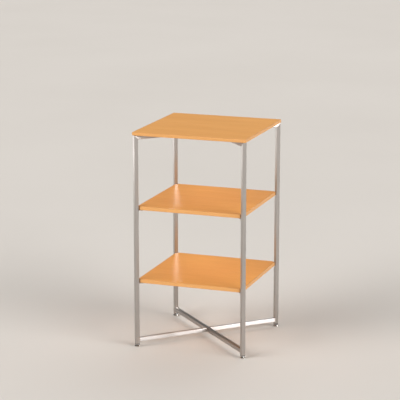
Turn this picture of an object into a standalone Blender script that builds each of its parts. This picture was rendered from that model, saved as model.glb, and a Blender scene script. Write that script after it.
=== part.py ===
"""Display shelf: three square boards on a welded frame of square steel tube, with levelling feet.

Metres, +Z up. The origin is on the floor, under the middle of the shelf. The front faces -Y.
"""

import math

import bmesh
import bpy

# Overall sizes
HEIGHT = 0.862
UPRIGHT_SPACING = 0.438
MIDDLE_SHELF_TOP = 0.569
LOWER_SHELF_TOP = 0.276

# Boards
TOP_THICKNESS = 0.0125
SHELF_THICKNESS = 0.015
TOP_OVERHANG = 0.011
TOP_CORNER_RADIUS = 0.004
SHELF_SETBACK = 0.003
SHELF_CORNER_CLEARANCE = 0.0045
EDGING_THICKNESS = 0.002
EDGING_ROUND = 0.0015
EDGING_STEPS = 3

# Square tube
TUBE_SIDE = 0.016
TUBE_WALL = 0.0015
TUBE_CORNER = 0.002
TUBE_INNER_CORNER = 0.0008
CORNER_STEPS = 3
BOTTOM_RAIL_UNDERSIDE = 0.021

# Shelf tabs
TAB_WIDTH = 0.016
TAB_THICKNESS = 0.0025
TAB_HOLE_REACH = 0.016
TAB_ARC_STEPS = 10

# Screws
SCREW_DIAMETER = 0.004
SCREW_HEAD_DIAMETER = 0.0078
SCREW_CROWN_DIAMETER = 0.0042
SCREW_HEAD_HEIGHT = 0.0024
SCREW_TIP_LENGTH = 0.003
SCREW_TIP_DIAMETER = 0.001
SCREW_BITE = 0.0085
PILOT_SPARE = 0.001
TOP_SCREW_REACH = 0.170
SCREW_SIDES = 10

# Levelling feet
FOOT_DIAMETER = 0.0224
FOOT_RIM_LIFT = 0.0012
CUP_WALL = 0.001
CUP_SIDE_HEIGHT = 0.0026
CUP_DOME_HEIGHT = 0.0026
CUP_NECK_DIAMETER = 0.014
SOLE_THICKNESS = 0.0035
SOLE_CHAMFER = 0.0008
STEM_DIAMETER = 0.008
STEM_LENGTH = 0.026
STEM_TIP_CHAMFER = 0.0008
BUTTON_DIAMETER = 0.011
NUT_ACROSS_FLATS = 0.013
NUT_HEIGHT = 0.0035
FLANGE_THICKNESS = 0.0022
FLANGE_SETBACK = 0.0002
PLUG_LENGTH = 0.022
PLUG_FIN_DEPTH = 0.0006
PLUG_FIN_COUNT = 3
ROUND_SIDES = 24
DOME_STEPS = 3

# Fits
SEAM = 0.0003

# Shading: edges that turn further than this are crisp
CRISP_EDGE_DEG = 40

# Places worked out from the sizes above
DIAGONAL = UPRIGHT_SPACING / math.sqrt(2)
UPRIGHT_FACE = DIAGONAL - TUBE_SIDE / 2
TOP_UNDERSIDE = HEIGHT - TOP_THICKNESS
TOP_RAIL_MIDDLE = TOP_UNDERSIDE - SEAM - TUBE_SIDE / 2
BOTTOM_RAIL_MIDDLE = BOTTOM_RAIL_UNDERSIDE + TUBE_SIDE / 2
MITRE_SETBACK = SEAM / math.sqrt(2)
CUP_TOP = FOOT_RIM_LIFT + CUP_SIDE_HEIGHT + CUP_DOME_HEIGHT
NUT_UNDERSIDE = CUP_TOP + SEAM
NUT_TOP = NUT_UNDERSIDE + NUT_HEIGHT
FLANGE_UNDERSIDE = NUT_TOP + SEAM
FLANGE_TOP = FLANGE_UNDERSIDE + FLANGE_THICKNESS
UPRIGHT_END = FLANGE_TOP + SEAM
TUBE_BORE = TUBE_SIDE - 2 * TUBE_WALL
SHELF_HALF = UPRIGHT_SPACING / 2 - SHELF_SETBACK
SHELF_CUT = UPRIGHT_FACE - SHELF_CORNER_CLEARANCE
TOP_HALF = UPRIGHT_SPACING / 2 + TOP_OVERHANG
PANEL_INSET = EDGING_THICKNESS + SEAM
TAB_SCREW_REACH = UPRIGHT_FACE - SEAM - TAB_HOLE_REACH

CORNERS = {"back_right": 45, "back_left": 135, "front_left": 225, "front_right": 315}
THROUGH_RAIL_CORNER = "front_right"
HALF_RAIL_CORNERS = ("front_left", "back_right")


# Materials

def material(name, colour, roughness, metallic):
    made = bpy.data.materials.new(name)
    made.use_nodes = True
    shader = made.node_tree.nodes["Principled BSDF"]
    shader.inputs["Base Color"].default_value = (*colour, 1.0)
    shader.inputs["Roughness"].default_value = roughness
    shader.inputs["Metallic"].default_value = metallic
    made.diffuse_color = (*colour, 1.0)
    return made


# Outlines: lists of (x, y), counter-clockwise

def four_turns(quarter):
    """The points of one corner, repeated at each quarter turn."""
    points = []
    for _ in range(4):
        points += quarter
        quarter = [(-y, x) for x, y in quarter]
    return points


def rounded_square(half, radius):
    corner = []
    for step in range(CORNER_STEPS + 1):
        angle = math.pi / 2 * step / CORNER_STEPS
        x = half - radius + radius * math.cos(angle)
        y = half - radius + radius * math.sin(angle)
        corner.append((x, y))
    return four_turns(corner)


def cut_square(half, cut):
    """A square whose corners are cut off at the distance cut from its middle."""
    reach = cut * math.sqrt(2) - half
    return four_turns([(half, reach), (reach, half)])


def circle(diameter, sides):
    points = []
    for side in range(sides):
        angle = 2 * math.pi * (side + 0.5) / sides
        points.append((diameter / 2 * math.cos(angle), diameter / 2 * math.sin(angle)))
    return points


def hexagon(across_flats, sides):
    """A hexagon drawn with as many points as the circles that it joins."""
    points = []
    for side in range(sides):
        angle = 2 * math.pi * side / sides
        from_flat = angle % (math.pi / 3) - math.pi / 6
        radius = across_flats / 2 / math.cos(from_flat)
        points.append((radius * math.cos(angle), radius * math.sin(angle)))
    return points


def level(outline, height):
    return [(x, y, height) for x, y in outline]


def turned(sections, sides):
    """The loops of a turned piece, from its (diameter, height) sections."""
    return [level(circle(diameter, sides), height) for diameter, height in sections]


def dome(base, crown, rise):
    """(diameter, height) sections of a quarter-round shoulder, from its base up to its crown."""
    sections = []
    for step in range(DOME_STEPS + 1):
        angle = math.pi / 2 * step / DOME_STEPS
        sections.append((crown + (base - crown) * math.cos(angle), rise * math.sin(angle)))
    return sections


# Solids

def add_object(name, loops, closed, finish):
    """Joins each loop of points to the next. A closed run of loops is a ring, an open one has two caps."""
    form = bmesh.new()
    rows = [[form.verts.new(point) for point in loop] for loop in loops]
    pairs = list(zip(rows, rows[1:]))
    if closed:
        pairs.append((rows[-1], rows[0]))
    else:
        form.faces.new(rows[0])
        form.faces.new(rows[-1])
    for first, second in pairs:
        for i in range(len(first)):
            j = (i + 1) % len(first)
            form.faces.new((first[i], first[j], second[j], second[i]))
    bmesh.ops.recalc_face_normals(form, faces=form.faces)
    mesh = bpy.data.meshes.new(name)
    form.to_mesh(mesh)
    form.free()
    mesh.shade_smooth()
    mesh.set_sharp_from_angle(angle=math.radians(CRISP_EDGE_DEG))
    made = bpy.data.objects.new(name, mesh)
    bpy.context.scene.collection.objects.link(made)
    if finish:
        mesh.materials.append(finish)
    return made


def ring(name, loops, finish):
    return add_object(name, loops, True, finish)


def stack(name, loops, finish):
    return add_object(name, loops, False, finish)


def drill(target, cutter):
    cut = target.modifiers.new(cutter.name, "BOOLEAN")
    cut.operation = "DIFFERENCE"
    cut.object = cutter
    cut.solver = "MANIFOLD"


def place(made, corner, reach, height):
    """Sets an object out from the middle towards a corner, with its own +Y pointing outwards."""
    angle = math.radians(CORNERS[corner])
    made.location = (reach * math.cos(angle), reach * math.sin(angle), height)
    made.rotation_euler = (0, 0, angle - math.pi / 2)


def lay(made, corner, reach, height):
    """Sets a rail out from the middle towards a corner, with its own +Z pointing outwards and +Y up."""
    angle = math.radians(CORNERS[corner])
    made.location = (reach * math.cos(angle), reach * math.sin(angle), height)
    made.rotation_euler = (math.pi / 2, 0, angle + math.pi / 2)


# Welded frame

def tube(name, length, start_slope, end_slope, finish):
    """A square tube along its own Z. A slope of 1 or -1 mitres that end across its Y."""
    outside = rounded_square(TUBE_SIDE / 2, TUBE_CORNER)
    inside = rounded_square(TUBE_BORE / 2, TUBE_INNER_CORNER)

    def start(outline):
        return [(x, y, start_slope * y) for x, y in outline]

    def end(outline):
        return [(x, y, length + end_slope * y) for x, y in outline]

    return ring(name, [start(outside), end(outside), end(inside), start(inside)], finish)


def uprights(finish):
    for corner in CORNERS:
        length = TOP_RAIL_MIDDLE - MITRE_SETBACK - UPRIGHT_END
        post = tube(f"upright_{corner}", length, 0, 1, finish)
        place(post, corner, DIAGONAL, UPRIGHT_END)


def top_rails(finish):
    """One rail runs right across under the top, and two half rails meet its sides."""
    half = DIAGONAL - MITRE_SETBACK
    rails = {}
    through = tube("top_through_rail", 2 * half, -1, 1, finish)
    lay(through, THROUGH_RAIL_CORNER, -half, TOP_RAIL_MIDDLE)
    for corner in HALF_RAIL_CORNERS:
        inner = TUBE_SIDE / 2 + SEAM
        rails[corner] = tube(f"top_half_rail_{corner}", half - inner, 0, 1, finish)
        lay(rails[corner], corner, inner, TOP_RAIL_MIDDLE)
    for corner in CORNERS:
        rails.setdefault(corner, through)
    return rails


def bottom_rails(finish):
    outer = UPRIGHT_FACE - SEAM
    through = tube("bottom_through_rail", 2 * outer, 0, 0, finish)
    lay(through, THROUGH_RAIL_CORNER, -outer, BOTTOM_RAIL_MIDDLE)
    for corner in HALF_RAIL_CORNERS:
        inner = TUBE_SIDE / 2 + SEAM
        half_rail = tube(f"bottom_half_rail_{corner}", outer - inner, 0, 0, finish)
        lay(half_rail, corner, inner, BOTTOM_RAIL_MIDDLE)


# Boards

def top_outline(inset):
    return rounded_square(TOP_HALF - inset, TOP_CORNER_RADIUS - inset)


def shelf_outline(inset):
    return cut_square(SHELF_HALF - inset, SHELF_CUT - inset)


def edging_section(thickness):
    """The band's section as (inset, height): flat where it meets the panel, rounded outside."""
    lower = []
    for step in range(EDGING_STEPS + 1):
        angle = math.pi / 2 * step / EDGING_STEPS
        lower.append((EDGING_ROUND * (1 - math.sin(angle)), EDGING_ROUND * (1 - math.cos(angle))))
    upper = [(inset, thickness - height) for inset, height in reversed(lower)]
    return [(EDGING_THICKNESS, 0.0), *lower, *upper, (EDGING_THICKNESS, thickness)]


def board(name, outline, underside, thickness, finishes):
    """A veneered panel inside an edging band. Returns the panel."""
    field = outline(PANEL_INSET)
    panel = stack(f"{name}_panel", [level(field, 0.0), level(field, thickness)], finishes["veneer"])
    bands = [level(outline(inset), height) for inset, height in edging_section(thickness)]
    edging = ring(f"{name}_edging", bands, finishes["edging"])
    for piece in (panel, edging):
        piece.location.z = underside
    return panel


# Fasteners

def screw(name, shank_length, finish):
    """A pan-head screw that points up, with the underside of its head at height 0."""
    head = dome(SCREW_HEAD_DIAMETER, SCREW_CROWN_DIAMETER, SCREW_HEAD_HEIGHT)
    sections = [(diameter, -height) for diameter, height in reversed(head)]
    sections += [
        (SCREW_DIAMETER, 0.0),
        (SCREW_DIAMETER, shank_length - SCREW_TIP_LENGTH),
        (SCREW_TIP_DIAMETER, shank_length),
    ]
    return stack(name, turned(sections, SCREW_SIDES), finish)


def bore(name, length):
    """A cutter for a screw's hole, from its own height 0 up."""
    hole = circle(SCREW_DIAMETER + 2 * SEAM, SCREW_SIDES)
    cutter = stack(f"{name}_bore", [level(hole, 0.0), level(hole, length)], None)
    cutter.hide_render = True
    cutter.display_type = "WIRE"
    return cutter


def fasten(name, corner, reach, seat, grip, pieces, finish):
    """Drives a screw up from the height seat through a depth of grip, and drills the pieces for it."""
    shank = SEAM + grip + SEAM + SCREW_BITE
    driven = screw(name, shank, finish)
    hole = bore(name, shank + PILOT_SPARE)
    for made in (driven, hole):
        place(made, corner, reach, seat - SEAM)
    for piece in pieces:
        drill(piece, hole)


def tab(name, finish):
    """A flat tab with a round end about its screw hole, which is at the tab's own origin."""
    outline = []
    hole = []
    radius = SCREW_DIAMETER / 2 + SEAM
    for step in range(TAB_ARC_STEPS + 1):
        angle = -math.pi * step / TAB_ARC_STEPS
        outline.append((TAB_WIDTH / 2 * math.cos(angle), TAB_WIDTH / 2 * math.sin(angle)))
        hole.append((radius * math.cos(angle), radius * math.sin(angle)))
    for side, angle in ((-1, math.radians(120)), (1, math.radians(60))):
        outline.append((side * TAB_WIDTH / 2, TAB_HOLE_REACH))
        hole.append((radius * math.cos(angle), radius * math.sin(angle)))
    loops = [level(outline, -TAB_THICKNESS), level(outline, 0.0), level(hole, 0.0)]
    loops.append(level(hole, -TAB_THICKNESS))
    return ring(name, loops, finish)


# Levelling feet

def plug_insert(name, finish):
    """A finned nylon plug with a square flange, bored for the foot's stem."""
    body = TUBE_BORE - 2 * SEAM
    valley = body - 2 * PLUG_FIN_DEPTH
    corner = TUBE_INNER_CORNER
    flange = rounded_square(TUBE_SIDE / 2 - FLANGE_SETBACK, TUBE_CORNER)
    hole = circle(STEM_DIAMETER + 2 * SEAM, len(flange))
    loops = [level(flange, FLANGE_UNDERSIDE), level(flange, FLANGE_TOP)]
    pitch = PLUG_LENGTH / (2 * PLUG_FIN_COUNT)
    for fin in range(PLUG_FIN_COUNT):
        root = FLANGE_TOP + 2 * fin * pitch
        loops.append(level(rounded_square(valley / 2, corner), root))
        loops.append(level(rounded_square(valley / 2, corner), root + pitch))
        loops.append(level(rounded_square(body / 2, corner), root + pitch))
        loops.append(level(rounded_square(valley / 2, corner), root + 2 * pitch))
    loops += [level(hole, FLANGE_TOP + PLUG_LENGTH), level(hole, FLANGE_UNDERSIDE)]
    return ring(name, loops, finish)


def foot_stem(name, finish):
    """The threaded stem with its hexagon, and below it the button that holds the cup."""
    rod = circle(STEM_DIAMETER, ROUND_SIDES)
    tip = circle(STEM_DIAMETER - 2 * STEM_TIP_CHAMFER, ROUND_SIDES)
    nut = hexagon(NUT_ACROSS_FLATS, ROUND_SIDES)
    button = circle(BUTTON_DIAMETER, ROUND_SIDES)
    button_top = CUP_TOP - CUP_WALL - SEAM
    loops = [
        level(button, SOLE_THICKNESS + SEAM),
        level(button, button_top),
        level(rod, button_top),
        level(rod, NUT_UNDERSIDE),
        level(nut, NUT_UNDERSIDE),
        level(nut, NUT_TOP),
        level(rod, NUT_TOP),
        level(rod, NUT_TOP + STEM_LENGTH - STEM_TIP_CHAMFER),
        level(tip, NUT_TOP + STEM_LENGTH),
    ]
    return stack(name, loops, finish)


def foot_cup(name, finish):
    """A pressed metal cup, open below, with a domed shoulder and a hole for the stem."""
    hole = STEM_DIAMETER + 2 * SEAM
    bore_width = FOOT_DIAMETER - 2 * CUP_WALL
    shoulder = FOOT_RIM_LIFT + CUP_SIDE_HEIGHT
    sections = [(FOOT_DIAMETER, FOOT_RIM_LIFT)]
    for width, height in dome(FOOT_DIAMETER, CUP_NECK_DIAMETER, CUP_DOME_HEIGHT):
        sections.append((width, shoulder + height))
    sections += [
        (hole, CUP_TOP),
        (hole, CUP_TOP - CUP_WALL),
        (CUP_NECK_DIAMETER, CUP_TOP - CUP_WALL),
        (bore_width, shoulder),
        (bore_width, FOOT_RIM_LIFT),
    ]
    return ring(name, turned(sections, ROUND_SIDES), finish)


def foot_sole(name, finish):
    width = FOOT_DIAMETER - 2 * CUP_WALL - 2 * SEAM
    sections = [(width - 2 * SOLE_CHAMFER, 0.0), (width, SOLE_CHAMFER), (width, SOLE_THICKNESS)]
    return stack(name, turned(sections, ROUND_SIDES), finish)


def levelling_foot(corner, finishes):
    """The insert stays in the tube. The stem, cup and sole hang from an empty on the foot's axis."""
    plug = plug_insert(f"foot_insert_{corner}", finishes["nylon"])
    place(plug, corner, DIAGONAL, 0)
    axis = bpy.data.objects.new(f"foot_axis_{corner}", None)
    bpy.context.scene.collection.objects.link(axis)
    place(axis, corner, DIAGONAL, 0)
    stem = foot_stem(f"foot_stem_{corner}", finishes["zinc"])
    cup = foot_cup(f"foot_cup_{corner}", finishes["nickel"])
    sole = foot_sole(f"foot_sole_{corner}", finishes["sole"])
    for piece in (stem, cup, sole):
        piece.parent = axis


# Assembly

def shelf(name, top, finishes):
    """A board between the uprights, on four tabs, with a screw up through each tab."""
    underside = top - SHELF_THICKNESS
    panel = board(name, shelf_outline, underside, SHELF_THICKNESS, finishes)
    tab_top = underside - SEAM
    seat = tab_top - TAB_THICKNESS
    for corner in CORNERS:
        carrier = tab(f"{name}_tab_{corner}", finishes["steel"])
        place(carrier, corner, TAB_SCREW_REACH, tab_top)
        screw_name = f"{name}_screw_{corner}"
        fasten(screw_name, corner, TAB_SCREW_REACH, seat, TAB_THICKNESS, [panel], finishes["zinc"])


def top(finishes):
    """The top board on its rails, with a screw up through each arm of the cross."""
    panel = board("top", top_outline, TOP_UNDERSIDE, TOP_THICKNESS, finishes)
    rails = top_rails(finishes["steel"])
    seat = TOP_RAIL_MIDDLE - TUBE_SIDE / 2
    for corner, rail in rails.items():
        screw_name = f"top_screw_{corner}"
        fasten(screw_name, corner, TOP_SCREW_REACH, seat, TUBE_SIDE, [rail, panel], finishes["zinc"])


def main():
    for old in list(bpy.data.objects):
        bpy.data.objects.remove(old)
    finishes = {
        "veneer": material("maple_veneer", (0.71, 0.34, 0.11), 0.35, 0.0),
        "edging": material("maple_edging", (0.85, 0.50, 0.22), 0.40, 0.0),
        "steel": material("brushed_steel", (0.62, 0.60, 0.59), 0.30, 1.0),
        "zinc": material("zinc_plated_steel", (0.66, 0.66, 0.66), 0.35, 1.0),
        "nickel": material("nickel_plated_steel", (0.72, 0.70, 0.66), 0.20, 1.0),
        "nylon": material("black_nylon", (0.02, 0.02, 0.02), 0.50, 0.0),
        "sole": material("grey_nylon_sole", (0.10, 0.10, 0.10), 0.60, 0.0),
    }
    uprights(finishes["steel"])
    bottom_rails(finishes["steel"])
    top(finishes)
    shelf("middle_shelf", MIDDLE_SHELF_TOP, finishes)
    shelf("lower_shelf", LOWER_SHELF_TOP, finishes)
    for corner in CORNERS:
        levelling_foot(corner, finishes)


main()
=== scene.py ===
"""Looks of the display shelf: fine metalwork, wood and metal finishes, studio light and camera.

Metres, +Z up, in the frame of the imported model. The origin is on the floor and the front faces -Y.
"""

import math

import bmesh
import bpy
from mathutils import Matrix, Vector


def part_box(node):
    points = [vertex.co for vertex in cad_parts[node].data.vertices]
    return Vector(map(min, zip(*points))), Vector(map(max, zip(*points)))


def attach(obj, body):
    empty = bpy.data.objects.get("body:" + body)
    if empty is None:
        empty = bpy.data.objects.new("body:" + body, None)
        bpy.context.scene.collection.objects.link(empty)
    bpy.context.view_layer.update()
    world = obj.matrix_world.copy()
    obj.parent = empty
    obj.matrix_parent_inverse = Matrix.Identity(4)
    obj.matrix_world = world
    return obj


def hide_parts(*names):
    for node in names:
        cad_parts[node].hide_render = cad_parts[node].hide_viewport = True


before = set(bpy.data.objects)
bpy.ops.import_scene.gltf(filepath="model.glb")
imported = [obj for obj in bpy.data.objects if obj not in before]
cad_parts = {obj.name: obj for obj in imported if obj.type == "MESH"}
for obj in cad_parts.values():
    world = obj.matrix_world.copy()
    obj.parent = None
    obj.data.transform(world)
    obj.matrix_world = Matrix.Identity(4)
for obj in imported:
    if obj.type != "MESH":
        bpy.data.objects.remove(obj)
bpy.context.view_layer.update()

# Corners of the shelf, as compass angles about the middle, in degrees
CORNERS = {"back_right": 45, "back_left": 135, "front_left": 225, "front_right": 315}
THROUGH_RAIL_CORNER = "front_right"
HALF_RAIL_CORNERS = ("front_left", "back_right")
SHELVES = ("middle_shelf", "lower_shelf")

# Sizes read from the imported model
TOP_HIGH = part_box("top_edging")[1]
SHELF_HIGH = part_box("middle_shelf_edging")[1]
TOP_RAIL_LOW, TOP_RAIL_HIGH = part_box("top_through_rail")
BOTTOM_RAIL_LOW, BOTTOM_RAIL_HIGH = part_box("bottom_through_rail")
UPRIGHT_LOW, UPRIGHT_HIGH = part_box("upright_back_right")
TAB_LOW, TAB_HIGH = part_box("middle_shelf_tab_back_right")
INSERT_LOW, INSERT_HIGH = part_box("foot_insert_back_right")
STEM_LOW, STEM_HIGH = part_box("foot_stem_back_right")
CUP_LOW, CUP_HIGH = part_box("foot_cup_back_right")
SOLE_LOW, SOLE_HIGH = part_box("foot_sole_back_right")

# Sizes worked out from those
TUBE_SIDE = TOP_RAIL_HIGH.z - TOP_RAIL_LOW.z
TOP_RAIL_MIDDLE = (TOP_RAIL_LOW.z + TOP_RAIL_HIGH.z) / 2
BOTTOM_RAIL_MIDDLE = (BOTTOM_RAIL_LOW.z + BOTTOM_RAIL_HIGH.z) / 2
DIAGONAL = (UPRIGHT_LOW.xy + UPRIGHT_HIGH.xy).length / 2
UPRIGHT_FACE = DIAGONAL - TUBE_SIDE / 2
FOOT_DIAMETER = CUP_HIGH.x - CUP_LOW.x

# Sizes of the tube, boards and fasteners, as in the solids
SEAM = 0.0003
TUBE_WALL = 0.0015
TUBE_CORNER = 0.002
TUBE_INNER_CORNER = 0.0008
TOP_CORNER_RADIUS = 0.004
SHELF_CORNER_CLEARANCE = 0.0045
EDGING_THICKNESS = 0.002
EDGING_ROUND = 0.0015
TAB_WIDTH = 0.016
TAB_HOLE_REACH = 0.016
TOP_SCREW_REACH = 0.170
SCREW_DIAMETER = 0.004
SCREW_HEAD_DIAMETER = 0.0078
SCREW_CROWN_DIAMETER = 0.0042
SCREW_HEAD_HEIGHT = 0.0024
SCREW_TIP_LENGTH = 0.003
SCREW_BITE = 0.0085
STEM_DIAMETER = 0.008
BUTTON_DIAMETER = 0.011
NUT_ACROSS_FLATS = 0.013
NUT_HEIGHT = 0.0035
FLANGE_THICKNESS = 0.0022
FLANGE_SETBACK = 0.0002
PLUG_FIN_DEPTH = 0.0006
PLUG_FIN_COUNT = 3
CUP_WALL = 0.001
CUP_SIDE_HEIGHT = 0.0026
CUP_NECK_DIAMETER = 0.014
SOLE_CHAMFER = 0.0008

# Fine detail that only the looks need
HAIRLINE = 0.00005
ARC_STEPS = 6
TAB_ARC_STEPS = 24
ROUND_SIDES = 48
SCREW_SIDES = 24
THREAD_STEPS = 8
STEM_THREAD_PITCH = 0.00125
STEM_THREAD_DEPTH = 0.00062
SCREW_THREAD_PITCH = 0.0018
SCREW_THREAD_DEPTH = 0.0007
SCREW_POINT_DIAMETER = 0.00026
RECESS_WIDTH = 0.0009
RECESS_SPAN = 0.0038
RECESS_DEPTH = 0.0013
RECESS_TAPER = 0.55
BEAD_RISE = 0.0005
BEAD_ON_RAIL = 0.0014
BEAD_ON_POST = 0.0022
BEAD_RIPPLE = 0.12
BEAD_RIPPLE_PITCH = 0.0013
BEAD_STEPS_PER_RIPPLE = 4
BEAD_STEPS_ACROSS = 6
BEAD_TAPER_STEPS = 4
BEAD_END_SIZE = 0.3
SEAM_BEAD_RISE = 0.00015
SEAM_BEAD_WIDTH = 0.0016
TAB_BEAD_RISE = 0.0009
TAB_BEAD_WIDTH = 0.0034
TAB_BEAD_INSET = TAB_BEAD_WIDTH / 4
TAB_BEAD_TURN = 135
NUT_CHAMFER = 0.0005
CUP_RIM_ROUND = 0.0003
SOLE_RECESS_DIAMETER = 0.012
SOLE_RECESS_FLAT = 0.0096
SOLE_RECESS_DEPTH = 0.0006
EDGE_ROUND = 0.0003
SMOOTH_ANGLE = 35

# Wood colours
VENEER_LIGHT = (0.885, 0.41, 0.089)
VENEER_DARK = (0.82, 0.358, 0.067)
EDGING_LIGHT = (0.655, 0.33, 0.118)
EDGING_DARK = (0.606, 0.298, 0.10)

# Camera, fitted to the corners, shelf edges and feet in the photograph
CAMERA_PLACE = (2.0902, -5.9729, 2.0292)
CAMERA_PITCH = 13.045
CAMERA_YAW = 19.575
CAMERA_LENS = 147.743
SENSOR_WIDTH = 36.0

# Studio. The light of its walls fades into that of its ceiling at WALL_RISE, the sine of an elevation
FLOOR_SIZE = 60.0
FLOOR_LIGHT = (0.68, 0.64, 0.595)
FLOOR_DARK = (0.66, 0.62, 0.575)
ROOM_COLOUR = (1.0, 0.98, 0.955, 1.0)
CEILING_STRENGTH = 0.14
WALL_STRENGTH = 0.36
WALL_RISE = 0.5

# Low lamp that stands at the left. Azimuth 0 is in front and 90 to the right, in degrees
PANEL_AZIMUTH = -88.0
PANEL_DISTANCE = 3.5
PANEL_WIDTH = 1.6
PANEL_HEIGHT = 0.25
PANEL_LIFT = 0.04
PANEL_TILT = 9.0
PANEL_POWER = 8.0


# Outlines: lists of (x, y), counter-clockwise

def four_turns(quarter):
    """The points of one corner, repeated at each quarter turn."""
    points = []
    for _ in range(4):
        points += quarter
        quarter = [(-y, x) for x, y in quarter]
    return points


def rounded_square(half, radius):
    """A square with rounded corners, given by half its side."""
    corner = []
    for step in range(ARC_STEPS + 1):
        angle = math.pi / 2 * step / ARC_STEPS
        x = half - radius + radius * math.cos(angle)
        y = half - radius + radius * math.sin(angle)
        corner.append((x, y))
    return four_turns(corner)


def cut_square(half, cut):
    """A square whose corners are cut off at the distance cut from its middle."""
    reach = cut * math.sqrt(2) - half
    return four_turns([(half, reach), (reach, half)])


def circle(diameter, sides):
    points = []
    for side in range(sides):
        angle = 2 * math.pi * side / sides
        points.append((diameter / 2 * math.cos(angle), diameter / 2 * math.sin(angle)))
    return points


def hexagon(across_flats, sides):
    """A hexagon drawn with as many points as the circles that it joins."""
    points = []
    for side in range(sides):
        angle = 2 * math.pi * side / sides
        from_flat = angle % (math.pi / 3) - math.pi / 6
        radius = across_flats / 2 / math.cos(from_flat)
        points.append((radius * math.cos(angle), radius * math.sin(angle)))
    return points


def cross(span, width):
    """The outline of a screw's cross recess."""
    return four_turns([(span / 2, -width / 2), (span / 2, width / 2), (width / 2, width / 2)])


def level(outline, height):
    """The outline as a loop of points at one height."""
    return [(x, y, height) for x, y in outline]


def turned(sections, sides):
    """The loops of a turned piece, from its (diameter, height) sections."""
    return [level(circle(diameter, sides), height) for diameter, height in sections]


def quarter_round(base, crown, low, high):
    """(diameter, height) sections of a rounded shoulder, from its base up to its crown."""
    sections = []
    for step in range(ARC_STEPS + 1):
        angle = math.pi / 2 * step / ARC_STEPS
        diameter = crown + (base - crown) * math.cos(angle)
        sections.append((diameter, low + (high - low) * math.sin(angle)))
    return sections


def thread(diameter, depth, pitch, low, high, sides):
    """Loops of a right-hand thread that runs out at both ends."""
    loops = []
    steps = math.ceil((high - low) / pitch * THREAD_STEPS)
    for step in range(steps + 1):
        height = low + (high - low) * step / steps
        run_out = min(1.0, (height - low) / pitch, (high - height) / pitch)
        loop = []
        for side in range(sides):
            angle = 2 * math.pi * side / sides
            phase = (height / pitch - side / sides) % 1.0
            crest = 1.0 - abs(2.0 * phase - 1.0)
            radius = diameter / 2 - depth * (1.0 - run_out * crest)
            loop.append((radius * math.cos(angle), radius * math.sin(angle), height))
        loops.append(loop)
    return loops


# Meshes

def mesh_from_loops(name, loops, closed):
    """Joins each loop of points to the next. A closed run of loops is a ring, an open one has two caps."""
    form = bmesh.new()
    rows = [[form.verts.new(point) for point in loop] for loop in loops]
    pairs = list(zip(rows, rows[1:]))
    if closed:
        pairs.append((rows[-1], rows[0]))
    else:
        form.faces.new(rows[0])
        form.faces.new(rows[-1])
    for first, second in pairs:
        for i in range(len(first)):
            j = (i + 1) % len(first)
            form.faces.new((first[i], first[j], second[j], second[i]))
    bmesh.ops.recalc_face_normals(form, faces=form.faces)
    mesh = bpy.data.meshes.new(name)
    form.to_mesh(mesh)
    form.free()
    return mesh


def add_piece(name, mesh, finish):
    """A new object with smooth faces, sharp only where the surface really turns."""
    mesh.shade_smooth()
    mesh.set_sharp_from_angle(angle=math.radians(SMOOTH_ANGLE))
    mesh.materials.clear()
    mesh.materials.append(finish)
    made = bpy.data.objects.new(name, mesh)
    bpy.context.scene.collection.objects.link(made)
    weighted = made.modifiers.new("weighted_normals", "WEIGHTED_NORMAL")
    weighted.keep_sharp = True
    return made


def carve(mesh, cutter_mesh):
    """Cuts one mesh out of another and returns the result."""
    target = bpy.data.objects.new("carve_target", mesh)
    cutter = bpy.data.objects.new("carve_cutter", cutter_mesh)
    for made in (target, cutter):
        bpy.context.scene.collection.objects.link(made)
    cut = target.modifiers.new("cut", "BOOLEAN")
    cut.operation = "DIFFERENCE"
    cut.object = cutter
    cut.solver = "MANIFOLD"
    depsgraph = bpy.context.evaluated_depsgraph_get()
    carved = bpy.data.meshes.new_from_object(target.evaluated_get(depsgraph))
    for made in (target, cutter):
        bpy.data.objects.remove(made)
    return carved


def place(made, corner, reach, height):
    """Sets an object out from the middle towards a corner, with its own +Y pointing outwards."""
    angle = math.radians(CORNERS[corner])
    made.location = (reach * math.cos(angle), reach * math.sin(angle), height)
    made.rotation_euler = (0, 0, angle - math.pi / 2)


def lay(made, corner, reach, height):
    """Sets a rail out from the middle towards a corner, with its own +Z pointing outwards and +Y up."""
    angle = math.radians(CORNERS[corner])
    made.location = (reach * math.cos(angle), reach * math.sin(angle), height)
    made.rotation_euler = (math.pi / 2, 0, angle + math.pi / 2)


def adopt(piece, body, slot, *nodes):
    """The piece rides on a body and stands for the nodes, which it hides. The slot is not used."""
    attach(piece, body)
    if nodes:
        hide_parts(*nodes)


# Materials

def shade(colour, factor):
    """The colour made lighter or darker by a factor."""
    return tuple(min(1.0, factor * part) for part in colour)


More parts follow.
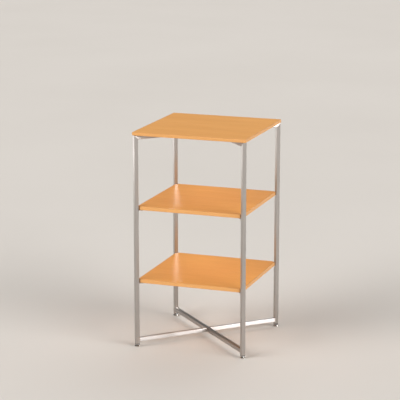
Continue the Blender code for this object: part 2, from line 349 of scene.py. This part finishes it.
class Finish:
    """A material with one Principled BSDF, built up by short calls."""

    def __init__(self, name):
        self.material = bpy.data.materials.new(name)
        self.material.use_nodes = True
        self.tree = self.material.node_tree
        self.shader = self.tree.nodes["Principled BSDF"]

    def set(self, **values):
        """Fixed values on the shader's own sockets."""
        for key, value in values.items():
            self.shader.inputs[key.replace("_", " ").title().replace("Ior", "IOR")].default_value = value

    def node(self, kind, **settings):
        made = self.tree.nodes.new(kind)
        for key, value in settings.items():
            setattr(made, key, value)
        return made

    def link(self, source, target):
        self.tree.links.new(source, target)

    def space(self, scale):
        """Object coordinates, stretched per axis, and set apart for each object."""
        place_in = self.node("ShaderNodeTexCoord").outputs["Object"]
        random = self.node("ShaderNodeObjectInfo").outputs["Random"]
        apart = self.node("ShaderNodeVectorMath", operation="ADD")
        self.link(place_in, apart.inputs[0])
        self.link(random, apart.inputs[1])
        mapping = self.node("ShaderNodeMapping")
        mapping.inputs["Scale"].default_value = scale
        self.link(apart.outputs["Vector"], mapping.inputs["Vector"])
        return mapping.outputs["Vector"]

    def noise(self, scale, detail=2.0, distortion=0.0):
        """Noise whose periods per metre are given per axis."""
        made = self.node("ShaderNodeTexNoise")
        made.inputs["Scale"].default_value = 1.0
        made.inputs["Detail"].default_value = detail
        made.inputs["Distortion"].default_value = distortion
        self.link(self.space(scale), made.inputs["Vector"])
        return made.outputs["Fac"]

    def spread(self, factor, low, high, start=0.3, end=0.7):
        """Maps a factor from start..end to low..high."""
        made = self.node("ShaderNodeMapRange")
        made.inputs["From Min"].default_value = start
        made.inputs["From Max"].default_value = end
        made.inputs["To Min"].default_value = low
        made.inputs["To Max"].default_value = high
        self.link(factor, made.inputs["Value"])
        return made.outputs["Result"]

    def mix(self, factor, first, second):
        """Mixes two colours, each a colour or the output of a node.

        Inputs 6 and 7 and output 2 are the node's colour sockets.
        """
        made = self.node("ShaderNodeMix", data_type="RGBA")
        wanted = ((made.inputs["Factor"], factor), (made.inputs[6], first), (made.inputs[7], second))
        for socket, value in wanted:
            if isinstance(value, bpy.types.NodeSocket):
                self.link(value, socket)
            elif isinstance(value, tuple):
                socket.default_value = (*value, 1.0)
            else:
                socket.default_value = value
        return made.outputs[2]

    def colour(self, source):
        self.link(source, self.shader.inputs["Base Color"])

    def roughness(self, source):
        self.link(source, self.shader.inputs["Roughness"])

    def bump(self, height, depth):
        """Bumps the surface by a height from 0 to 1, times a depth in metres."""
        made = self.node("ShaderNodeBump")
        made.inputs["Distance"].default_value = depth
        self.link(height, made.inputs["Height"])
        self.link(made.outputs["Normal"], self.shader.inputs["Normal"])

    def around(self):
        """Highlights stretch round the object's own Z axis, across brush marks that run along it."""
        made = self.node("ShaderNodeTangent", direction_type="RADIAL", axis="Z")
        self.link(made.outputs["Tangent"], self.shader.inputs["Tangent"])


def wood(name, light, dark, figure, fibre, gloss):
    """Lacquered wood: broad figure, fine fibres and short pores, all stretched along the grain."""
    finish = Finish(name)
    finish.set(coat_weight=0.15, coat_roughness=0.2, ior=1.45, specular_ior_level=0.3)
    broad = finish.noise(figure, detail=3.0, distortion=0.4)
    fine = finish.noise(fibre, detail=3.0)
    pores = finish.noise(tuple(3.0 * step for step in fibre), detail=1.0)
    tone = finish.mix(finish.spread(broad, 0.0, 1.0), dark, light)
    fibres = finish.mix(finish.spread(fine, 0.0, 0.5), tone, shade(dark, 0.9))
    few = finish.spread(pores, 0.0, 0.4, start=0.62, end=0.72)
    finish.colour(finish.mix(few, fibres, shade(dark, 0.7)))
    finish.roughness(finish.spread(fine, gloss, gloss + 0.12))
    finish.bump(fine, depth=0.00003)
    return finish.material


def brushed_steel(name, colour, gloss):
    """Steel brushed along each tube, with faint streaks and handling marks."""
    finish = Finish(name)
    finish.set(metallic=1.0, anisotropic=0.83)
    finish.around()
    streaks = finish.noise((900.0, 900.0, 6.0), detail=3.0)
    marks = finish.noise((14.0, 14.0, 9.0), detail=4.0)
    finish.colour(finish.mix(finish.spread(streaks, 0.0, 1.0), shade(colour, 0.9), shade(colour, 1.08)))
    worn = finish.mix(0.35, streaks, marks)
    finish.roughness(finish.spread(worn, gloss - 0.05, gloss + 0.08))
    finish.bump(streaks, depth=0.000008)
    return finish.material


def plated_metal(name, colour, gloss, turning):
    """Plated metal with fine turning marks round its own axis."""
    finish = Finish(name)
    finish.set(metallic=1.0)
    rings = finish.noise((90.0, 90.0, turning), detail=2.0)
    clouds = finish.noise((160.0, 160.0, 160.0), detail=4.0)
    finish.colour(finish.mix(finish.spread(clouds, 0.0, 1.0), shade(colour, 0.88), colour))
    finish.roughness(finish.spread(rings, gloss, gloss + 0.12))
    finish.bump(rings, depth=0.00001)
    return finish.material


def moulded_nylon(name, colour, gloss):
    """Moulded nylon with a fine spark-eroded texture."""
    finish = Finish(name)
    finish.set(ior=1.53)
    grit = finish.noise((2600.0, 2600.0, 2600.0), detail=2.0)
    scuffs = finish.noise((220.0, 220.0, 220.0), detail=4.0)
    lighter = tuple(min(1.0, 2.2 * part + 0.01) for part in colour)
    finish.colour(finish.mix(finish.spread(scuffs, 0.0, 0.6), colour, lighter))
    finish.roughness(finish.spread(grit, gloss, gloss + 0.15))
    finish.bump(grit, depth=0.00002)
    return finish.material


def weld_metal(name, colour, gloss):
    """Weld metal, brushed back and a little darker than the tube."""
    finish = Finish(name)
    finish.set(metallic=1.0)
    ripples = finish.noise((700.0, 700.0, 700.0), detail=3.0)
    tint = finish.noise((120.0, 120.0, 120.0), detail=2.0)
    straw = (colour[0], 0.93 * colour[1], 0.82 * colour[2])
    finish.colour(finish.mix(finish.spread(tint, 0.0, 0.5), colour, straw))
    finish.roughness(finish.spread(ripples, gloss, gloss + 0.15))
    finish.bump(ripples, depth=0.00002)
    return finish.material


def make_finishes():
    """All finishes by name. Figure and fibre are the grain's periods per metre along each axis."""
    veneer = wood(
        "maple_veneer", VENEER_LIGHT, VENEER_DARK,
        figure=(2.2, 17.0, 17.0), fibre=(9.0, 380.0, 380.0), gloss=0.3,
    )
    edging = wood(
        "maple_edging", EDGING_LIGHT, EDGING_DARK,
        figure=(4.0, 4.0, 120.0), fibre=(12.0, 12.0, 700.0), gloss=0.32,
    )
    return {
        "veneer": veneer,
        "edging": edging,
        "steel": brushed_steel("brushed_steel", colour=(0.56, 0.53, 0.51), gloss=0.37),
        "weld": weld_metal("brushed_weld", colour=(0.56, 0.52, 0.50), gloss=0.33),
        "zinc": plated_metal("zinc_plate", colour=(0.62, 0.62, 0.61), gloss=0.32, turning=1500.0),
        "nickel": plated_metal("nickel_plate", colour=(0.74, 0.71, 0.67), gloss=0.12, turning=2400.0),
        "nylon": moulded_nylon("black_nylon", colour=(0.018, 0.017, 0.016), gloss=0.42),
        "sole": moulded_nylon("grey_nylon", colour=(0.075, 0.072, 0.07), gloss=0.55),
    }


# Welded frame

def tube_mesh(name, length, start_slope, end_slope):
    """A square tube along its own Z. A slope of 1 or -1 mitres that end across its Y."""
    outside = rounded_square(TUBE_SIDE / 2, TUBE_CORNER)
    inside = rounded_square(TUBE_SIDE / 2 - TUBE_WALL, TUBE_INNER_CORNER)

    def start(outline):
        return [(x, y, start_slope * y) for x, y in outline]

    def end(outline):
        return [(x, y, length + end_slope * y) for x, y in outline]

    return mesh_from_loops(name, [start(outside), end(outside), end(inside), start(inside)], True)


def screw_holes(mesh, distances):
    """Drills a rail across its own Y at distances along its Z."""
    hole = circle(SCREW_DIAMETER + 2 * SEAM, SCREW_SIDES)
    for distance in distances:
        loops = []
        for height in (-TUBE_SIDE, TUBE_SIDE):
            loops.append([(x, height, distance + y) for x, y in hole])
        mesh = carve(mesh, mesh_from_loops("rail_hole", loops, False))
    return mesh


def make_uprights(finish):
    """The four uprights, mitred at the top. Returns them."""
    length = TOP_RAIL_MIDDLE - HAIRLINE - UPRIGHT_LOW.z
    uprights = []
    for corner in CORNERS:
        name = f"brushed_upright_{corner}"
        post = add_piece(name, tube_mesh(name, length, 0, 1), finish)
        place(post, corner, DIAGONAL, UPRIGHT_LOW.z)
        adopt(post, "frame", "tube_steel", f"upright_{corner}")
        uprights.append(post)
    return uprights


def add_rail(node, mesh, corner, reach, height, finish):
    """A rail that stands for a node and runs out towards a corner."""
    rail = add_piece(f"brushed_{node}", mesh, finish)
    lay(rail, corner, reach, height)
    adopt(rail, "frame", "tube_steel", node)


def make_rails(finish):
    """Both crosses: a through rail, and two half rails that meet it. Only the top ones are mitred."""
    half = DIAGONAL - HAIRLINE
    outer = UPRIGHT_FACE - SEAM
    inner = TUBE_SIDE / 2 + SEAM
    mesh = tube_mesh("top_through", 2 * half, -1, 1)
    mesh = screw_holes(mesh, (half - TOP_SCREW_REACH, half + TOP_SCREW_REACH))
    add_rail("top_through_rail", mesh, THROUGH_RAIL_CORNER, -half, TOP_RAIL_MIDDLE, finish)
    mesh = tube_mesh("bottom_through", 2 * outer, 0, 0)
    add_rail("bottom_through_rail", mesh, THROUGH_RAIL_CORNER, -outer, BOTTOM_RAIL_MIDDLE, finish)
    for corner in HALF_RAIL_CORNERS:
        mesh = screw_holes(tube_mesh("top_half", half - inner, 0, 1), (TOP_SCREW_REACH - inner,))
        add_rail(f"top_half_rail_{corner}", mesh, corner, inner, TOP_RAIL_MIDDLE, finish)
        mesh = tube_mesh("bottom_half", outer - inner, 0, 0)
        add_rail(f"bottom_half_rail_{corner}", mesh, corner, inner, BOTTOM_RAIL_MIDDLE, finish)


def refine(path, step):
    """Adds points along a closed outline, so that no run between two is longer than step."""
    points = []
    for i, (x, y) in enumerate(path):
        after = path[(i + 1) % len(path)]
        runs = max(1, math.ceil(math.hypot(after[0] - x, after[1] - y) / step))
        for run in range(runs):
            share = run / runs
            points.append((x + (after[0] - x) * share, y + (after[1] - y) * share))
    return points


def bead_mesh(name):
    """A weld round a rail's end, from the rail at +Z on to the piece that it meets, with fine ripples."""
    outline = rounded_square(TUBE_SIDE / 2, TUBE_CORNER)
    path = refine(outline, BEAD_RIPPLE_PITCH / BEAD_STEPS_PER_RIPPLE)
    loops = []
    for step in range(BEAD_STEPS_ACROSS + 1):
        angle = math.pi * step / BEAD_STEPS_ACROSS
        rise = BEAD_RISE * math.sin(angle)
        along = math.cos(angle) * (BEAD_ON_RAIL if step <= BEAD_STEPS_ACROSS / 2 else BEAD_ON_POST)
        loop = []
        travelled = 0.0
        for i, (x, y) in enumerate(path):
            before = path[i - 1]
            after = path[(i + 1) % len(path)]
            tangent = (after[0] - before[0], after[1] - before[1])
            length = math.hypot(*tangent)
            travelled += math.hypot(x - before[0], y - before[1])
            ripple = 1.0 + BEAD_RIPPLE * math.sin(2 * math.pi * travelled / BEAD_RIPPLE_PITCH)
            out = rise * ripple
            loop.append((x + tangent[1] / length * out, y - tangent[0] / length * out, along))
        loops.append(loop)
    return mesh_from_loops(name, loops, True)


def strip_bead_mesh(name, length, width, rise):
    """A straight weld along its own X, proud of its own XY plane, rippled and tapered at both ends."""
    loops = []
    steps = math.ceil(BEAD_STEPS_PER_RIPPLE * length / BEAD_RIPPLE_PITCH)
    for step in range(steps + 1):
        along = length * (step / steps - 0.5)
        taper = min(1.0, min(step, steps - step) / BEAD_TAPER_STEPS)
        size = BEAD_END_SIZE + (1.0 - BEAD_END_SIZE) * taper
        swell = 1.0 + BEAD_RIPPLE * math.sin(2 * math.pi * along / BEAD_RIPPLE_PITCH)
        reach = width / 2 * size * swell
        loop = [(along, -reach, -rise)]
        for part in range(BEAD_STEPS_ACROSS + 1):
            angle = math.pi * part / BEAD_STEPS_ACROSS
            loop.append((along, -reach * math.cos(angle), rise * size * math.sin(angle)))
        loop.append((along, reach, -rise))
        loops.append(loop)
    return mesh_from_loops(name, loops, False)


def make_mitre_welds(finish):
    """Both sides of each corner where a top rail meets its upright, brushed nearly flush."""
    length = math.sqrt(2) * (TUBE_SIDE - 2 * TUBE_CORNER)
    bead = strip_bead_mesh("mitre_bead", length, SEAM_BEAD_WIDTH, SEAM_BEAD_RISE)
    for corner, compass in CORNERS.items():
        for side, turn in (("left", -1), ("right", 1)):
            weld = add_piece(f"weld_mitre_{side}_{corner}", bead, finish)
            angle = math.radians(compass)
            aside = turn * TUBE_SIDE / 2
            x = DIAGONAL * math.cos(angle) + aside * math.sin(angle)
            y = DIAGONAL * math.sin(angle) - aside * math.cos(angle)
            weld.location = (x, y, TOP_RAIL_MIDDLE)
            facing = angle - turn * math.pi / 2
            weld.rotation_euler = (math.pi / 2, -turn * math.pi / 4, facing + math.pi / 2)
            adopt(weld, "frame", "tube_steel")


def make_tab_welds(finish):
    """Under each shelf tab, where it meets its upright."""
    bead = strip_bead_mesh("tab_bead", TUBE_SIDE - 2 * TUBE_CORNER, TAB_BEAD_WIDTH, TAB_BEAD_RISE)
    for shelf in SHELVES:
        tab_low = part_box(f"{shelf}_tab_back_right")[0].z
        for corner in CORNERS:
            weld = add_piece(f"weld_{shelf}_tab_{corner}", bead, finish)
            place(weld, corner, UPRIGHT_FACE - TAB_BEAD_INSET, tab_low - TAB_BEAD_INSET)
            weld.rotation_euler.x = math.radians(TAB_BEAD_TURN)
            adopt(weld, "frame", "tube_steel")


def make_rail_welds(finish):
    """Round the ends of the bottom rails, and where the half rails of both crosses meet the through rail."""
    bead = bead_mesh("rail_bead")
    for corner in CORNERS:
        weld = add_piece(f"weld_bottom_rail_{corner}", bead, finish)
        lay(weld, corner, UPRIGHT_FACE, BOTTOM_RAIL_MIDDLE)
        weld.rotation_euler.z += math.pi
        adopt(weld, "frame", "tube_steel")
    for corner in HALF_RAIL_CORNERS:
        for where, height in (("top", TOP_RAIL_MIDDLE), ("bottom", BOTTOM_RAIL_MIDDLE)):
            weld = add_piece(f"weld_{where}_cross_{corner}", bead, finish)
            lay(weld, corner, TUBE_SIDE / 2, height)
            adopt(weld, "frame", "tube_steel")


# Boards

def edging_section(thickness):
    """The band's section as (inset, height): flat where it meets the panel, rounded outside."""
    depth = EDGING_THICKNESS + SEAM - HAIRLINE
    lower = []
    for step in range(ARC_STEPS + 1):
        angle = math.pi / 2 * step / ARC_STEPS
        lower.append((EDGING_ROUND * (1 - math.sin(angle)), EDGING_ROUND * (1 - math.cos(angle))))
    upper = [(inset, thickness - height) for inset, height in reversed(lower)]
    return [(depth, 0.0), *lower, *upper, (depth, thickness)]


def top_outline(inset):
    """The top's outline, moved in by an inset."""
    return rounded_square(TOP_HIGH.x - inset, TOP_CORNER_RADIUS - inset)


def shelf_outline(inset):
    """A shelf's outline, moved in by an inset."""
    return cut_square(SHELF_HIGH.x - inset, UPRIGHT_FACE - SHELF_CORNER_CLEARANCE - inset)


def make_boards(finishes):
    """The edging bands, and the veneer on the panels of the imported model."""
    for board, outline in (("top", top_outline), *((shelf, shelf_outline) for shelf in SHELVES)):
        low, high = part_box(f"{board}_edging")
        section = edging_section(high.z - low.z)
        loops = [level(outline(inset), height) for inset, height in section]
        name = f"edge_band_{board}"
        band = add_piece(name, mesh_from_loops(name, loops, True), finishes["edging"])
        band.location.z = low.z
        adopt(band, "frame", "edging", f"{board}_edging")
        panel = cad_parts[f"{board}_panel"]
        panel.data.materials.clear()
        panel.data.materials.append(finishes["veneer"])


# Tabs and screws

def tab_mesh():
    """A flat tab with a round end about its screw hole, with eased edges."""
    radius = SCREW_DIAMETER / 2 + SEAM
    half_turn = [-math.pi * step / TAB_ARC_STEPS for step in range(TAB_ARC_STEPS + 1)]

    def edge(ease, height):
        reach = TAB_WIDTH / 2 - ease
        points = [(reach * math.cos(angle), reach * math.sin(angle), height) for angle in half_turn]
        return [*points, (-reach, TAB_HOLE_REACH, height), (reach, TAB_HOLE_REACH, height)]

    def hole(height):
        """As many points as the edge has: two more, opposite the tab's square corners, close the circle."""
        angles = [*half_turn, math.radians(120), math.radians(60)]
        return [(radius * math.cos(angle), radius * math.sin(angle), height) for angle in angles]

    thickness = TAB_HIGH.z - TAB_LOW.z
    ease = EDGE_ROUND
    loops = [edge(ease, -thickness), edge(0.0, ease - thickness), edge(0.0, -ease), edge(ease, 0.0)]
    loops += [hole(0.0), hole(-thickness)]
    return mesh_from_loops("shelf_tab", loops, True)


def screw_mesh(name, shank):
    """A pan-head wood screw that points up, with the underside of its head at height 0."""
    core = SCREW_DIAMETER - 2 * SCREW_THREAD_DEPTH
    head = quarter_round(SCREW_HEAD_DIAMETER, SCREW_CROWN_DIAMETER, 0.0, SCREW_HEAD_HEIGHT)
    sections = [(diameter, -height) for diameter, height in reversed(head)]
    loops = turned([*sections, (core, 0.0)], SCREW_SIDES)
    pointed = shank - SCREW_TIP_LENGTH
    loops += thread(SCREW_DIAMETER, SCREW_THREAD_DEPTH, SCREW_THREAD_PITCH, SEAM, pointed, SCREW_SIDES)
    loops += turned([(SCREW_POINT_DIAMETER, shank)], SCREW_SIDES)
    screw = mesh_from_loops(name, loops, False)
    mouth = cross(RECESS_SPAN, RECESS_WIDTH)
    foot = [(RECESS_TAPER * x, RECESS_TAPER * y) for x, y in mouth]
    below = level(mouth, -SCREW_HEAD_HEIGHT - SEAM)
    above = level(foot, RECESS_DEPTH - SCREW_HEAD_HEIGHT)
    return carve(screw, mesh_from_loops(f"{name}_recess", [below, above], False))


def make_fasteners(finishes):
    """The shelf tabs with their screws, and the longer screws through the top rails."""
    tab_form = tab_mesh()
    thickness = TAB_HIGH.z - TAB_LOW.z
    short = screw_mesh("tab_screw", thickness + 2 * SEAM + SCREW_BITE)
    long = screw_mesh("top_screw", TUBE_SIDE + 2 * SEAM + SCREW_BITE)
    reach = UPRIGHT_FACE - SEAM - TAB_HOLE_REACH
    for shelf in SHELVES:
        tab_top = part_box(f"{shelf}_tab_back_right")[1].z
        for corner in CORNERS:
            tab = add_piece(f"rounded_{shelf}_tab_{corner}", tab_form, finishes["weld"])
            place(tab, corner, reach, tab_top)
            adopt(tab, "frame", "tube_steel", f"{shelf}_tab_{corner}")
            screw = add_piece(f"cross_head_{shelf}_screw_{corner}", short, finishes["zinc"])
            place(screw, corner, reach, tab_top - thickness - SEAM)
            adopt(screw, "frame", "screw_steel", f"{shelf}_screw_{corner}")
    for corner in CORNERS:
        screw = add_piece(f"cross_head_top_screw_{corner}", long, finishes["zinc"])
        place(screw, corner, TOP_SCREW_REACH, TOP_RAIL_LOW.z - SEAM)
        adopt(screw, "frame", "screw_steel", f"top_screw_{corner}")


# Levelling feet, each drawn at its real height about its own axis

def insert_loops():
    """A finned nylon plug with a square flange, bored for the foot's stem."""
    low = INSERT_LOW.z
    body = TUBE_SIDE - 2 * TUBE_WALL - 2 * SEAM
    valley = body - 2 * PLUG_FIN_DEPTH
    flange = TUBE_SIDE / 2 - FLANGE_SETBACK
    top = low + FLANGE_THICKNESS
    ease = EDGE_ROUND
    loops = [
        level(rounded_square(flange - ease, TUBE_CORNER - ease), low),
        level(rounded_square(flange, TUBE_CORNER), low + ease),
        level(rounded_square(flange, TUBE_CORNER), top),
    ]
    pitch = (INSERT_HIGH.z - top) / (2 * PLUG_FIN_COUNT)
    for fin in range(PLUG_FIN_COUNT):
        root = top + 2 * fin * pitch
        loops.append(level(rounded_square(valley / 2, TUBE_INNER_CORNER), root))
        loops.append(level(rounded_square(valley / 2, TUBE_INNER_CORNER), root + pitch))
        loops.append(level(rounded_square(body / 2, TUBE_INNER_CORNER), root + pitch))
        loops.append(level(rounded_square(valley / 2, TUBE_INNER_CORNER), root + 2 * pitch))
    hole = circle(STEM_DIAMETER + 2 * SEAM, len(loops[0]))
    return [*loops, level(hole, INSERT_HIGH.z), level(hole, low)]


def stem_loops():
    """The threaded stem with its chamfered hexagon, and below it the button that holds the cup."""
    core = STEM_DIAMETER - 2 * STEM_THREAD_DEPTH
    button_top = CUP_HIGH.z - CUP_WALL - SEAM
    nut_low = CUP_HIGH.z + SEAM
    nut_high = nut_low + NUT_HEIGHT
    nut = hexagon(NUT_ACROSS_FLATS, ROUND_SIDES)
    eased = circle(NUT_ACROSS_FLATS, ROUND_SIDES)
    loops = turned([(BUTTON_DIAMETER, STEM_LOW.z), (BUTTON_DIAMETER, button_top)], ROUND_SIDES)
    loops += turned([(STEM_DIAMETER, button_top), (STEM_DIAMETER, nut_low)], ROUND_SIDES)
    loops += [level(eased, nut_low), level(nut, nut_low + NUT_CHAMFER)]
    loops += [level(nut, nut_high - NUT_CHAMFER), level(eased, nut_high)]
    loops += turned([(core, nut_high)], ROUND_SIDES)
    low = nut_high + SEAM
    loops += thread(STEM_DIAMETER, STEM_THREAD_DEPTH, STEM_THREAD_PITCH, low, STEM_HIGH.z, ROUND_SIDES)
    return loops


def cup_loops():
    """A pressed metal cup, open below, with a rolled rim, a domed shoulder and a hole for the stem."""
    hole = STEM_DIAMETER + 2 * SEAM
    bore = FOOT_DIAMETER - 2 * CUP_WALL
    rim = CUP_LOW.z
    shoulder = rim + CUP_SIDE_HEIGHT
    ease = CUP_RIM_ROUND
    sections = [(FOOT_DIAMETER - 2 * ease, rim), (FOOT_DIAMETER, rim + ease)]
    sections += quarter_round(FOOT_DIAMETER, CUP_NECK_DIAMETER, shoulder, CUP_HIGH.z)
    sections += [(hole, CUP_HIGH.z), (hole, CUP_HIGH.z - CUP_WALL)]
    sections += [(CUP_NECK_DIAMETER, CUP_HIGH.z - CUP_WALL), (bore, shoulder), (bore, rim + ease)]
    sections.append((bore + 2 * ease, rim))
    return turned(sections, ROUND_SIDES)


def sole_loops():
    """A nylon disc that stands on the floor, with a shallow round recess under it."""
    width = SOLE_HIGH.x - SOLE_LOW.x
    roof = SOLE_RECESS_DEPTH
    sections = [(SOLE_RECESS_FLAT, roof), (SOLE_RECESS_DIAMETER, roof), (SOLE_RECESS_DIAMETER + roof, 0.0)]
    sections += [(width - 2 * SOLE_CHAMFER, 0.0), (width, SOLE_CHAMFER), (width, SOLE_HIGH.z)]
    return turned(sections, ROUND_SIDES)


def make_feet(finishes):
    """The four feet. The insert stays with the frame, and the sole goes with the cup."""
    insert = mesh_from_loops("plug_insert", insert_loops(), True)
    stem = mesh_from_loops("threaded_stem", stem_loops(), False)
    cup = mesh_from_loops("pressed_cup", cup_loops(), True)
    sole = mesh_from_loops("recessed_sole", sole_loops(), False)
    for corner in CORNERS:
        foot = f"foot_{corner}"
        parts = (
            ("plug_insert", insert, "nylon", "frame", "insert_nylon", f"foot_insert_{corner}"),
            ("threaded_stem", stem, "zinc", f"stem_{corner}", "screw_steel", f"foot_stem_{corner}"),
            ("pressed_cup", cup, "nickel", foot, "foot_metal", f"foot_cup_{corner}"),
            ("recessed_sole", sole, "sole", foot, "sole_nylon", f"foot_sole_{corner}"),
        )
        for name, mesh, finish, body, slot, node in parts:
            piece = add_piece(f"{name}_{corner}", mesh, finishes[finish])
            place(piece, corner, DIAGONAL, 0.0)
            adopt(piece, body, slot, node)


# Studio

def make_floor():
    """A plain pale floor. Its underside doesn't hide the object from a camera below it."""
    finish = Finish("pale_floor")
    clouds = finish.noise((0.7, 0.7, 0.7), detail=3.0)
    finish.colour(finish.mix(finish.spread(clouds, 0.0, 1.0), FLOOR_DARK, FLOOR_LIGHT))
    finish.set(roughness=0.9, specular_ior_level=0.1)
    geometry = finish.node("ShaderNodeNewGeometry")
    light_path = finish.node("ShaderNodeLightPath")
    both = finish.node("ShaderNodeMath", operation="MULTIPLY")
    clear = finish.node("ShaderNodeBsdfTransparent")
    choose = finish.node("ShaderNodeMixShader")
    finish.link(geometry.outputs["Backfacing"], both.inputs[0])
    finish.link(light_path.outputs["Is Camera Ray"], both.inputs[1])
    finish.link(both.outputs["Value"], choose.inputs["Fac"])
    finish.link(finish.shader.outputs["BSDF"], choose.inputs[1])
    finish.link(clear.outputs["BSDF"], choose.inputs[2])
    finish.link(choose.outputs["Shader"], finish.tree.nodes["Material Output"].inputs["Surface"])
    mesh = bpy.data.meshes.new("floor")
    form = bmesh.new()
    bmesh.ops.create_grid(form, x_segments=1, y_segments=1, size=FLOOR_SIZE / 2)
    form.to_mesh(mesh)
    form.free()
    mesh.materials.append(finish.material)
    floor = bpy.data.objects.new("floor", mesh)
    bpy.context.scene.collection.objects.link(floor)


def make_world():
    """Light from all round, stronger from the studio's walls than from its ceiling."""
    world = bpy.data.worlds.new("studio")
    world.use_nodes = True
    tree = world.node_tree
    background = tree.nodes["Background"]
    background.inputs["Color"].default_value = ROOM_COLOUR
    direction = tree.nodes.new("ShaderNodeTexCoord")
    parts = tree.nodes.new("ShaderNodeSeparateXYZ")
    fade = tree.nodes.new("ShaderNodeMapRange")
    fade.inputs["From Max"].default_value = WALL_RISE
    fade.inputs["To Min"].default_value = WALL_STRENGTH
    fade.inputs["To Max"].default_value = CEILING_STRENGTH
    tree.links.new(direction.outputs["Generated"], parts.inputs["Vector"])
    tree.links.new(parts.outputs["Z"], fade.inputs["Value"])
    tree.links.new(fade.outputs["Result"], background.inputs["Strength"])
    bpy.context.scene.world = world


def soft_lamp(name, azimuth, elevation, spread, strength):
    """A broad, distant lamp. Azimuth 0 is in front and 90 to the right, in degrees."""
    lamp = bpy.data.lights.new(name, "SUN")
    lamp.angle = math.radians(spread)
    lamp.energy = strength
    made = bpy.data.objects.new(name, lamp)
    bpy.context.scene.collection.objects.link(made)
    made.rotation_euler = (math.radians(90 - elevation), 0, math.radians(azimuth))
    return made


def low_panel(name):
    """A long, low lamp that stands on the floor at the left and shines a little upwards."""
    lamp = bpy.data.lights.new(name, "AREA")
    lamp.shape = "RECTANGLE"
    lamp.size = PANEL_WIDTH
    lamp.size_y = PANEL_HEIGHT
    lamp.energy = PANEL_POWER
    made = bpy.data.objects.new(name, lamp)
    bpy.context.scene.collection.objects.link(made)
    angle = math.radians(PANEL_AZIMUTH)
    x = PANEL_DISTANCE * math.sin(angle)
    y = -PANEL_DISTANCE * math.cos(angle)
    made.location = (x, y, PANEL_LIFT + PANEL_HEIGHT / 2)
    made.rotation_euler = (math.radians(90 + PANEL_TILT), 0, angle)
    return made


def light_only(lamp, pieces):
    """The lamp lights these pieces and no others."""
    lit = bpy.data.collections.new(f"{lamp.name}_lights")
    for piece in pieces:
        lit.objects.link(piece)
    lamp.light_linking.receiver_collection = lit


def make_camera():
    """The photograph's view, without a lens shift."""
    lens = bpy.data.cameras.new("camera")
    lens.lens = CAMERA_LENS
    lens.sensor_width = SENSOR_WIDTH
    camera = bpy.data.objects.new("camera", lens)
    camera.location = CAMERA_PLACE
    camera.rotation_euler = (math.radians(90 - CAMERA_PITCH), 0, math.radians(CAMERA_YAW))
    bpy.context.scene.collection.objects.link(camera)
    bpy.context.scene.camera = camera


def make_lamps(finishes, uprights):
    """The lamps in front stay out of reflections, so that the lacquer keeps its colour from every side.

    The low lamps are for the shine of the metal: one along the rails, and one at the tops of the uprights.
    """
    soft_lamp("lamp_left", azimuth=-42, elevation=24, spread=45, strength=3.1).visible_glossy = False
    soft_lamp("lamp_right", azimuth=70, elevation=20, spread=45, strength=3.2).visible_glossy = False
    soft_lamp("lamp_back", azimuth=180, elevation=50, spread=45, strength=0.6)
    left_out = (None, finishes["veneer"], finishes["edging"])
    meshes = [made for made in bpy.context.scene.objects if made.type == "MESH"]
    rail_lamp = soft_lamp("lamp_low", azimuth=80, elevation=12, spread=18, strength=2.6)
    light_only(rail_lamp, [piece for piece in meshes if piece.active_material not in left_out])
    light_only(low_panel("lamp_panel"), uprights)


def main():
    finishes = make_finishes()
    uprights = make_uprights(finishes["steel"])
    make_rails(finishes["steel"])
    make_mitre_welds(finishes["weld"])
    make_tab_welds(finishes["weld"])
    make_rail_welds(finishes["weld"])
    make_boards(finishes)
    make_fasteners(finishes)
    make_feet(finishes)
    make_lamps(finishes, uprights)
    make_floor()
    make_world()
    make_camera()
    bpy.context.scene.view_settings.view_transform = "Standard"


main()
